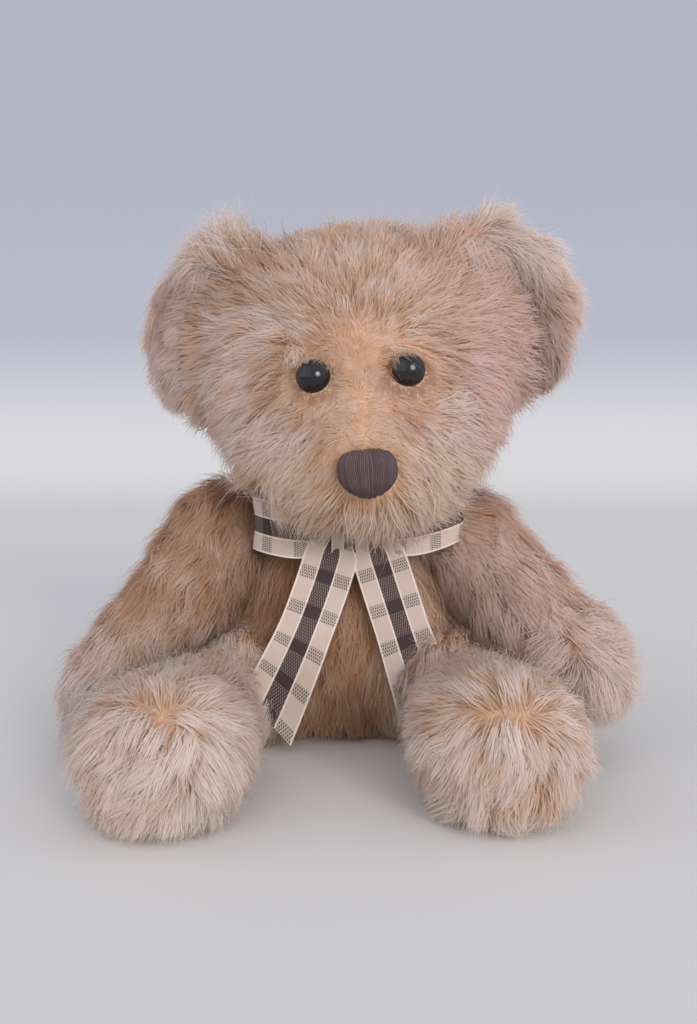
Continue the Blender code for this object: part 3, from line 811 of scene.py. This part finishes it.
def pile_finish(name, root, middle, tip):
    """Root to tip in three tones, then gold and rose by region, lock and hair by hair with a painted shade
    towards each lock's edge, soil, and a painted brown shade by region.

    The fibres let some light through, so a Translucent shader of the same tone is mixed in.
    """
    made, where = finish(name, {"Roughness": 0.8, "Specular IOR Level": 0.15, "Sheen Weight": 0.10})
    along, tone_and_lock_edge_shade, lock = where.told("hair")
    pale, gold, rose = where.told("region")
    shade = where.told("shade", out=2)
    patch = where.noise(where, 75.0, 2.0).rise(0.38, 0.62)
    # the hair's tone carries a painted shade towards each lock's edge
    ripe = along + 0.20 * lock + 0.12 * tone_and_lock_edge_shade + 0.45 * pale + 0.24 * patch - 0.54
    tone = ripe.rise(-0.15, 0.40).colour(root, middle)
    tone = ripe.rise(0.35, 0.95).colour(tone, tip)
    tone = (gold * (1.0 - 0.35 * along)).colour(tone, GOLD)
    tone = (rose * 0.55).colour(tone, ROSE)
    soil = where.noise(where, 45.0, 3.0).rise(0.50, 0.75)
    tone = (soil * 0.15).colour(tone, SOIL)
    # painted shade, as much as the shade attribute says
    tone = (shade * 0.9).colour(tone, PAINTED_SHADE)
    light = 0.95 + 0.02 * tone_and_lock_edge_shade + 0.05 * lock
    tone = where.node("ShaderNodeVectorMath", {"operation": "SCALE"}, {0: tone, 3: light})
    tone.into("Base Color")
    nodes = made.node_tree.nodes
    through = where.node("ShaderNodeBsdfTranslucent", {}, {"Color": tone})
    solid = Wire(made.node_tree, nodes["Principled BSDF"].outputs[0])
    both = where.node("ShaderNodeMixShader", {}, {0: LET_THROUGH, 1: solid, 2: through})
    made.node_tree.links.new(both.socket, nodes["Material Output"].inputs["Surface"])
    return made


cream_pile = pile_finish("cream_pile", srgb(236, 204, 168), srgb(241, 216, 194), srgb(246, 238, 234))
peach_pile = pile_finish("peach_pile", srgb(206, 162, 123), srgb(219, 184, 154), srgb(243, 232, 226))


ribbon_flat, ribbon_out = of_runs(2), of_runs(3)
ribbon_tree = tree_of(ribbon_flat)
OFF_RIBBON, BESIDE_RIBBON, NEAR_RIBBON = 0.0009, 0.0012, 0.012


def pressed(path, side):
    """Moves hair off the ribbon, to one side of it: -1 behind and 1 in front.

    A point opposite the ribbon, so hardly beside its nearest place, is moved along the ribbon's normal
    there until it is clear of the cloth.
    """
    low, high = ribbon_flat.min(axis=0) - NEAR_RIBBON, ribbon_flat.max(axis=0) + NEAR_RIBBON
    flat = path.reshape(-1, 3)
    near = np.flatnonzero(((flat > low) & (flat < high)).all(axis=1))
    found = np.array([ribbon_tree.find(place)[1] for place in flat[near]], int)
    gap, out = flat[near] - ribbon_flat[found], ribbon_out[found]
    height = (gap * out).sum(axis=1)
    opposite = length_of(gap - height[:, None] * out) < BESIDE_RIBBON
    move = side * OFF_RIBBON - height
    flat[near] += np.where(opposite & (move * side > 0), move, 0)[:, None] * out
    return flat.reshape(path.shape)


OVER_EYE = 0.0010  # how far off the dome the hair lies
EYE_REACH = 0.012  # no hair further than this before or behind an eye's seat is moved
UNDER_EYE, UNDER_NOSE = 0.0054, 0.93  # bare: this near to an eye's middle, and this share of the nose


def clear_of_eyes(path, rng):
    """Moves hair that would pass through an eye out to its rim, or a little over it and off the dome.

    Hair from above the eye comes further over it than hair from below. What comes over lies on a dome
    that is a little larger than the eye's, so that it doesn't dip into the eye between its points.
    """
    for seat, aim in EYE_SEATS.values():
        gap = path - seat
        height = gap @ aim
        out = gap - height[..., None] * aim
        radius = length_of(out)
        over = 0.0003 + 0.0036 * step(0.001, 0.005, path[:, :1, 2] - seat[2])
        rim = EYE_RADIUS + 0.0002 - over * rng.random((len(path), 1)) ** 1.5
        wide = EYE_RADIUS + OVER_EYE
        inside = (radius < wide) & (np.abs(height) < EYE_REACH)
        to = np.maximum(radius, rim)
        dome = (EYE_DOME + OVER_EYE) * np.sqrt(np.clip(1 - (to / wide) ** 2, 0, 1))
        lift = np.where(rim < EYE_RADIUS - 0.0004, np.maximum(dome - height, 0), 0)
        moved = path + (to - radius)[..., None] * unit(out) + lift[..., None] * aim
        path = np.where(inside[..., None], moved, path)
    return path


def off_eyes_and_nose(points):
    """0 under an eye or the nose, and 1 beside them: no hair grows under either."""
    free = np.ones(len(points))
    for seat, aim in EYE_SEATS.values():
        gap = points - seat
        out = length_of(gap - (gap @ aim)[:, None] * aim)
        free[(out < UNDER_EYE) & (points[:, 1] < 0.0)] = 0
    gap = points - NOSE_SEAT
    nose_share = np.hypot(gap @ NOSE_ACROSS / NOSE_WIDTH * 2, gap @ NOSE_UP / NOSE_HEIGHT * 2)
    free[(nose_share < UNDER_NOSE) & (points[:, 1] < -0.02)] = 0
    return free


def pile(node, count, share, long, lay, tint, finish_of_it, lock_size, gather, rise, hug, seed):
    """Combs a part's hairs out of its skin and mats them in locks.

    Each hair has a place on the skin, the lay there with a little drift, and its length. Each lock is
    one hair of its own with the mean of its members' roots, and draws them to itself more and more
    towards its tip. A third of the hairs are a shorter undercoat that fills the partings between the
    locks, and a few keep to themselves and stand out.
    """
    rng = np.random.default_rng(seed)
    root, out = on_skin(skins[node], count, share, rng)
    group = lock_of(root + FRAY * rng.normal(size=root.shape), lock_size)
    middle, middle_out = mean_of(root, group), unit(mean_of(out, group))
    locks = len(middle)
    turn = 0.30 * drift(middle, 0.011, rng) + 0.22 * rng.normal(size=locks)
    way = turned_on(along_skin(lay(middle, middle_out), middle_out), middle_out, turn)
    lock_long = long(middle) * rng.uniform(0.82, 1.18, locks)
    unruly = 1 + 0.18 * drift(middle, 0.009, rng) + 0.12 * rng.normal(size=locks)
    lock_rise = rise(middle, middle_out) * unruly
    lock_curl = 0.30 * rng.normal(size=locks)
    sag = 0.05 + 0.12 * step(0.2, 0.9, -middle_out[:, 2])
    core = combed(middle, middle_out, way, lock_long, lock_rise, lock_curl, sag, hug)
    own = along_skin(way[group] + 0.22 * rng.normal(size=root.shape), out)
    kind = rng.random(count)
    loose, under = kind < LOOSE, kind > 1 - UNDER
    own_long = lock_long[group] * rng.uniform(0.75, 1.10, count)
    own_long *= np.where(loose, LOOSE_LONG, np.where(under, UNDER_LONG, 1.0))
    own_rise = lock_rise[group] * rng.uniform(0.75, 1.25, count)
    own_rise *= np.where(loose, LOOSE_RISE, np.where(under, UNDER_RISE, 1.0))
    path = combed(root, out, own, own_long, own_rise, lock_curl[group], sag[group], hug)
    hold = np.where(under, UNDER_HOLD, rng.uniform(0.55, 1.0, count))
    pull = (np.where(loose, LOOSE_HOLD, hold) * gather(root))[:, None] * PULL
    path += pull[:, :, None] * (core[group] - path)
    if node == "head":
        path = clear_of_eyes(path, rng)
    path = pressed(path, 1 if node in ("head", "leg_left") else -1)
    path[:, :, 2] = np.maximum(path[:, :, 2], FLOOR_GAP + FLOOR_LAYER * rng.random((count, 1)))
    edge = length_of(root - middle[group]) / lock_size
    # each hair's tone at random, and darker towards its lock's edge: a painted shade in the partings between
    # locks
    tone_and_lock_edge_shade = np.clip(0.9 - 1.1 * edge + 0.3 * rng.random(count), 0, 1)
    hair = beside(tone_and_lock_edge_shade, rng.random(locks)[group])
    roll = rng.normal(0, 0.22, count)
    width = HAIR_WIDTH * np.clip(own_long / THICK_FROM, 0.7, 1.0) * rng.uniform(0.8, 1.2, count)
    width *= np.where(loose, 0.55, 1.0)
    piece = blades(node + "_pile", path, out, roll, width, hair, tint(root), finish_of_it)
    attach(piece, "root")
    "cream_plush" if finish_of_it == cream_pile else "peach_plush"
    return piece


FADED = np.array([  # across, up and radius of the patches that are worn nearly white
    (-0.0126, 0.1176, 0.0080),
    (-0.0276, 0.1267, 0.0090),
    (-0.0231, 0.1560, 0.0070),
    (-0.0370, 0.1540, 0.0065),
    (0.0340, 0.1280, 0.0090),
    (0.0657, 0.1688, 0.0100),
    (-0.0390, 0.1810, 0.0105),
])
TUFT = FADED[-1:]  # where a longer tuft stands up beside the right ear
BROWS = np.array([(0.0155, 0.1445, 0.0055), (-0.0140, 0.1455, 0.0065)])
BROW_LAYS = np.array([(1.0, 0.0, -0.25), (1.0, 0.0, -0.35)])  # both hang a little over the eyes


def patch_of(points, patches):
    """1 in the middle of the patches, seen from the front, and 0 from their rims outwards."""
    gap = length_of(points[:, None, ::2] - patches[:, :2]) / patches[:, 2]
    return (1 - step(0.3, 1.0, gap)).max(axis=1)


def head_share(points, out):
    """Denser on the face, where the hair is short and is seen most."""
    bridge = 1 - step(0.004, 0.012, off_bridge(points))
    front = 0.5 * step(0.2, -0.5, out[:, 1]) + near_face(points) + 1.5 * bridge + patch_of(points, TUFT)
    return (1.0 + front) * off_eyes_and_nose(points)


def head_long(points):
    """Short on the face, and longest under the chin, where it hangs over the bow."""
    across, _, up = points.T
    jaw = up - 0.007 * step(-0.014, -0.028, across)  # on the right it starts higher
    chin = 0.0070 * step(0.108, 0.094, jaw) * (1 + 0.6 * step(0.008, 0.020, np.abs(across)))
    chin *= 1 + 0.35 * step(-0.018, -0.032, across)
    crown = 0.0020 * step(0.175, 0.190, up)
    tuft = 0.0135 * patch_of(points, TUFT) + 0.0035 * patch_of(points, BROWS)
    return 0.0155 - 0.0115 * near_face(points) + chin + crown + tuft


def head_lay(points, out):
    """Away from the bridge of the nose and the eyes, down the cheeks, and over the crown to the nape."""
    across, ahead, up = points.T
    from_bridge = line_gap(points, WHORL, NOSE_AT)
    far = length_of(from_bridge)[:, None]
    way = from_bridge / (far + 0.004) + (1 - step(0.002, 0.010, far)) * (0.0, 0.0, 0.5)
    for seat, _ in EYE_SEATS.values():
        from_eye = points - seat
        far = length_of(from_eye)[:, None]
        above = step(0.2, 0.7, from_eye[:, 2:] / far)
        from_eye *= np.concatenate([1 - 1.3 * above, 0 * above, 1 - 2 * above], axis=1)  # and down over it
        way += 2.2 * unit(from_eye) * (1 - step(0.007, 0.014, far))
    way[:, 2] -= 0.35 * step(0.155, 0.125, up) * step(0.03, 0.0, ahead)
    way[:, 2] -= 1.4 * step(0.020, 0.060, ahead)
    jaw = step(0.112, 0.100, up) * step(-0.012, -0.024, across)
    jaw *= step(0.03, 0.0, ahead)
    way += jaw[:, None] * (0.35, 0.0, -1.3)  # the right jaw hangs over the loop of the bow
    for brow, brow_lay in zip(BROWS, BROW_LAYS):
        way += 1.6 * patch_of(points, brow[None])[:, None] * brow_lay
    return way + 5.0 * patch_of(points, TUFT)[:, None] * (-0.45, -0.45, 0.8)


def head_rise(points, out):
    """Upright in front, flat over the sides and the back, and flat on the bridge."""
    flat = 0.22 * near_face(points) - 0.35 * patch_of(points, TUFT) - 0.20 * patch_of(points, BROWS)
    flat += 0.14 * step(0.122, 0.112, points[:, 2])
    return 0.42 + 0.22 * step(0.15, 0.65, -out[:, 1]) + 0.25 * step(0.180, 0.192, points[:, 2]) - flat


def head_tint(points):
    """Golden on the bridge, a painted brown shade round the eyes and on the right of the forehead, paler on
    the muzzle as a painted light that is brightest on its left, rosy on the left, faded in patches.
    """
    across, ahead, up = points.T
    faded = patch_of(points, FADED)
    gold = 0.38 * near_face(points) * step(0.098, 0.106, up)
    painted_eye_shade = 1 - step(0.0068, 0.0100, off_eyes(points))
    muzzle = step(0.122, 0.112, up) * step(0.0, -0.02, ahead)
    rose = step(0.010, 0.045, across) * (1 - faded) * (1 - 0.7 * muzzle)
    pale = 0.62 - 0.30 * step(0.135, 0.180, up) + 0.55 * faded
    # the muzzle is painted paler: a painted light, brightest on its left towards the key lamp
    pale += muzzle * (0.55 + 0.6 * step(0.0, 0.02, across))
    # painted shade round the eyes, and on the right of the forehead, the side away from the key lamp
    shade = 0.45 * painted_eye_shade + 0.16 * step(-0.008, -0.030, across) * step(0.150, 0.165, up)
    return beside(pale, gold + 0.32 * muzzle, rose, shade * (1 - faded))


def head_gather(points):
    """Matted in locks on the right, and brushed soft on the left and on the muzzle."""
    across, _, up = points.T
    soft = np.maximum(0.26 * step(0.005, 0.035, across), 0.12 * step(0.124, 0.112, up))
    return 0.48 - soft + 0.14 * step(0.000, -0.020, across) * step(0.140, 0.152, up)


pile("head", 60000, head_share, head_long, head_lay, head_tint, cream_pile, lock_size=0.0038,
     gather=head_gather, rise=head_rise, hug=0.060, seed=1)


def even(value):
    """The same number at every point."""
    return lambda points, out=None: np.full(len(points), value)


def arm_rise(points, out):
    """Upright under the arm, so that the pile fills the gap to the torso, and flatter elsewhere."""
    under = 1 - step(0.018, 0.040, nearest_of(points, blank_points["torso"]))
    return 0.58 + 0.50 * under * step(0.085, 0.065, points[:, 2])


def arm_long(points):
    """Longest round the paw."""
    return 0.0160 + 0.0030 * step(0.060, 0.035, points[:, 2])


def down_lay(points, out):
    """Down and a little outwards from the middle of the chest."""
    return beside(6 * points[:, 0], 0.0, -1.0)


def torso_tint(points):
    """Tan in the middle of the chest under a painted shade from the head, and paler towards the left arm, a
    painted light where the key lamp falls.
    """
    left = step(0.005, 0.030, points[:, 0])
    # paler on the left: painted light; last column: painted shade over the middle and right of the chest
    return beside(0.20 + 1.5 * left, 0.34 + 0.20 * left, 0.0, 0.12 * (1 - left))


def torso_rise(points, out):
    """Flat down the chest under the ribbon, and upright at the sides against the arms."""
    return 0.50 + 0.45 * step(0.4, 0.9, np.abs(out[:, 0]))


pile("torso", 27000, even(1.0), even(0.0150), down_lay, torso_tint, peach_pile, lock_size=0.0044,
     gather=even(0.46), rise=torso_rise, hug=0.060, seed=2)

ARM_ENDS = {
    "left": np.array([[0.040, 0.040, 0.098], [0.098, -0.0235, 0.022]]),
    "right": np.array([[-0.040, 0.040, 0.104], [-0.098, -0.0135, 0.008]]),
}
LEFT_PAW_WHORL = np.array([0.0846, -0.0289, 0.0416])
FOOT_PARTINGS = {
    "left": np.array([[0.0387, -0.0797, 0.0370], [0.0554, -0.0810, 0.0383], [0.0640, -0.0826, 0.0295]]),
    "right": np.array([[-0.0598, -0.0788, 0.0441], [-0.0431, -0.0833, 0.0368], [-0.0372, -0.0780, 0.0086]]),
}
EAR_SOURCE = np.array([0.0471, 0.0123, 0.1934])  # the upper inner corner of the left ear


def parting_gaps(points, side):
    """The vectors from the two straight lines of a foot's parting to each point."""
    whorl, bend, end = FOOT_PARTINGS[side]
    return np.stack([line_gap(points, whorl, bend), line_gap(points, bend, end)])


def off_parting(points, side):
    """How far each point is from the parting on the front of a foot."""
    return length_of(parting_gaps(points, side)).min(axis=0)


for side in ("right", "left"):
    sign = 1 if side == "left" else -1

    def arm_lay(points, out, side=side):
        """Along the arm to the paw, drawn down by its weight; on the left paw away from a whorl."""
        shoulder, paw = ARM_ENDS[side]
        way = np.tile(unit(paw - shoulder) * 1.2 + (0, 0, -0.25), (len(points), 1))
        if side == "left":
            from_whorl = points - LEFT_PAW_WHORL
            near = 1 - step(0.012, 0.034, length_of(from_whorl))
            way += 1.6 * near[:, None] * unit(from_whorl)
        return way

    def arm_tint(points, side=side):
        """Paler towards the paw, and rosy on the left arm, which is also paler all over: a painted light on
        the side the key lamp reaches.
        """
        low = step(0.065, 0.030, points[:, 2])
        rose = 1.0 if side == "left" else 0.2
        # the left arm's greater paleness is painted light
        pale = (0.90 if side == "left" else 0.15) + 1.2 * low
        return beside(pale, 0.20 * (1 - low), rose * (0.6 - 0.5 * low), 0.0)

    pile("arm_" + side, 31000, even(1.0), arm_long, arm_lay, arm_tint, peach_pile, lock_size=0.0046,
         gather=even(0.34), rise=arm_rise, hug=0.045, seed=3 + sign)

    def leg_lay(points, out, side=side):
        """Away from the parting on the front of the foot, soft near it, and forward along the leg."""
        gaps = parting_gaps(points, side)
        far = length_of(gaps)[..., None]
        weight = (far + 0.003) ** -3
        from_line = (weight * gaps / (far + 0.006)).sum(axis=0) / weight.sum(axis=0)
        front = 1 - step(0.030, 0.060, far.min(axis=0))
        fall = 0.65 if side == "left" else 0.85
        return front * (1.2 * from_line + (0.0, 0.0, -fall)) + (1 - front) * np.array([0.0, -0.6, -0.7])

    def leg_rise(points, out, side=side):
        """More upright along the parting, so that the tips close over the roots."""
        return 0.55 + 0.25 * step(0.008, 0.001, off_parting(points, side))

    def leg_tint(points, side=side):
        """Cream, and paler along the parting."""
        pale = (0.85 if side == "left" else 0.98) + 0.6 * step(0.012, 0.002, off_parting(points, side))
        return beside(pale, 0.10, 0.0, 0.0)

    def leg_share(points, out, side=side):
        """Denser along the parting."""
        return 1 + step(0.014, 0.002, off_parting(points, side))

    pile("leg_" + side, 45000, leg_share, even(0.0155), leg_lay, leg_tint, cream_pile, lock_size=0.0048,
         gather=even(0.52), rise=leg_rise, hug=0.034, seed=6 + sign)

    def ear_lay(points, out, side=side):
        """On the left ear away from its inner corner; on the right ear out and down, but up at the tip."""
        if side == "left":
            return unit(points - EAR_SOURCE) + (0.0, 0.0, -0.2)
        up = step(0.178, 0.192, points[:, 2])[:, None]
        return (1 - up) * np.array([-0.75, 0.0, -0.65]) + up * np.array([-0.5, 0.0, 0.8])

    def ear_tint(points, side=side):
        """Greyer than the head, with a painted shade where it meets the head; paler at the top, white tufts
        with a painted backlight; the right ear paler, a painted light on its shaded side.
        """
        up = points[:, 2]
        # crease: painted shade where the ear meets the head
        crease = 1 - step(0.004, 0.013 if side == "left" else 0.008, nearest_of(points, blank_points["head"]))
        crease *= step(0.188, 0.176, up) * (1.0 if side == "left" else 0.4)
        # top: white tufts with a painted backlight
        top = step(0.172, 0.190, up)
        # the right ear's greater paleness is painted light
        pale = (0.9 if side == "left" else 1.2) + 0.7 * top
        return beside(pale, 0.1, 0.5 - 0.4 * crease - 0.4 * top, 0.5 * crease)

    def ear_long(points):
        """Longer in the tufts on top and at the right ear's tip, and shorter below it and at the seam."""
        across, _, up = points.T
        high = step(0.170, 0.186, up) * step(0.082, 0.066, across)
        outer = step(-0.062, -0.072, across)
        tip = step(0.160, 0.167, up) * step(0.184, 0.176, up)
        seam = step(0.009, 0.004, nearest_of(points, blank_points["head"])) * step(0.186, 0.176, up)
        outer *= 0.0065 * tip - 0.0040 * step(0.164, 0.156, up)
        return 0.0145 + 0.0055 * high + outer - 0.0055 * seam

    pile("ear_" + side, 22000, even(1.0), ear_long, ear_lay, ear_tint, cream_pile, lock_size=0.0040,
         gather=even(0.30), rise=even(0.55), hug=0.045, seed=9 + sign)


# The floor, the light and the camera: a pale sweep that greys as it rises, a soft lamp from the front and
# the bear's left with a small one for the glint in its eyes, a weak one from the other side, and the
# camera of the photograph a little above the nose.
sweep_paint, where = finish("pale_sweep", {"Roughness": 0.9})
up = where.parts()[2].rise(0.0, 0.35)
floor_tone = where.noise(where, 3.0).colour(srgb(210, 207, 202), srgb(214, 211, 206))
up.colour(floor_tone, srgb(161, 164, 174)).into("Base Color")
SWEEP_HALF, SWEEP_FRONT, SWEEP_BACK, SWEEP_BEND, SWEEP_TOP = 6.0, -3.0, 1.6, 0.6, 3.0


def sweep(u, v):
    """A floor that bends up into a wall: u goes across, v from the front over a quarter circle up."""
    front = np.clip(v / 0.45, 0, 1)
    bend = np.clip((v - 0.45) / 0.2, 0, 1) * np.pi / 2
    wall = np.clip((v - 0.65) / 0.35, 0, 1)
    y = SWEEP_FRONT + front * (SWEEP_BACK - SWEEP_BEND - SWEEP_FRONT) + SWEEP_BEND * np.sin(bend)
    z = SWEEP_BEND * (1 - np.cos(bend)) + wall * (SWEEP_TOP - SWEEP_BEND)
    return beside(SWEEP_HALF * (2 * u - 1), y, z)


across, ahead = np.meshgrid(np.linspace(0, 1, 9), np.linspace(0, 1, 61))
backdrop = new_mesh("sweep", sweep(across, ahead), grid_faces(61, 9), sweep_paint)

world = bpy.data.worlds.new("studio")
world.use_nodes = True
world.node_tree.nodes["Background"].inputs["Color"].default_value = srgb(232, 236, 248)
world.node_tree.nodes["Background"].inputs["Strength"].default_value = 1.0
bpy.context.scene.world = world


def lamp(name, place, spread, strength, colour):
    """A far soft lamp that shines from a place towards the middle of the bear, so wide in degrees."""
    light = bpy.data.lights.new(name, "SUN")
    light.angle, light.energy, light.color = math.radians(spread), strength, colour
    holder = put(name, light)
    holder.location = place
    aim = holder.location - Vector((0, 0, 0.1))
    holder.rotation_euler = aim.to_track_quat("Z", "Y").to_euler()


lamp("key", (0.62, -1.10, 0.46), 30.0, 1.36, (1.0, 0.98, 0.95))
lamp("catch_light", (0.60, -1.06, 0.50), 5.0, 0.24, (1.0, 0.98, 0.95))
lamp("fill", (-1.05, -0.80, 0.55), 75.0, 0.38, (0.97, 0.98, 1.0))

FOCAL, FRAME_HEIGHT = 918.6, 1024  # of the photograph, in its pixels
CAMERA_AT, CAMERA_DOWN = (0.0021, -0.3365, 0.122), 5.49
SENSOR = 36
camera = bpy.data.cameras.new("camera")
camera.sensor_width = SENSOR
camera.lens = FOCAL / FRAME_HEIGHT * SENSOR
camera_holder = put("camera", camera)
camera_holder.location = CAMERA_AT
camera_holder.rotation_euler = (math.radians(90 - CAMERA_DOWN), 0, 0)
bpy.context.scene.camera = camera_holder
bpy.context.scene.view_settings.view_transform = "Standard"
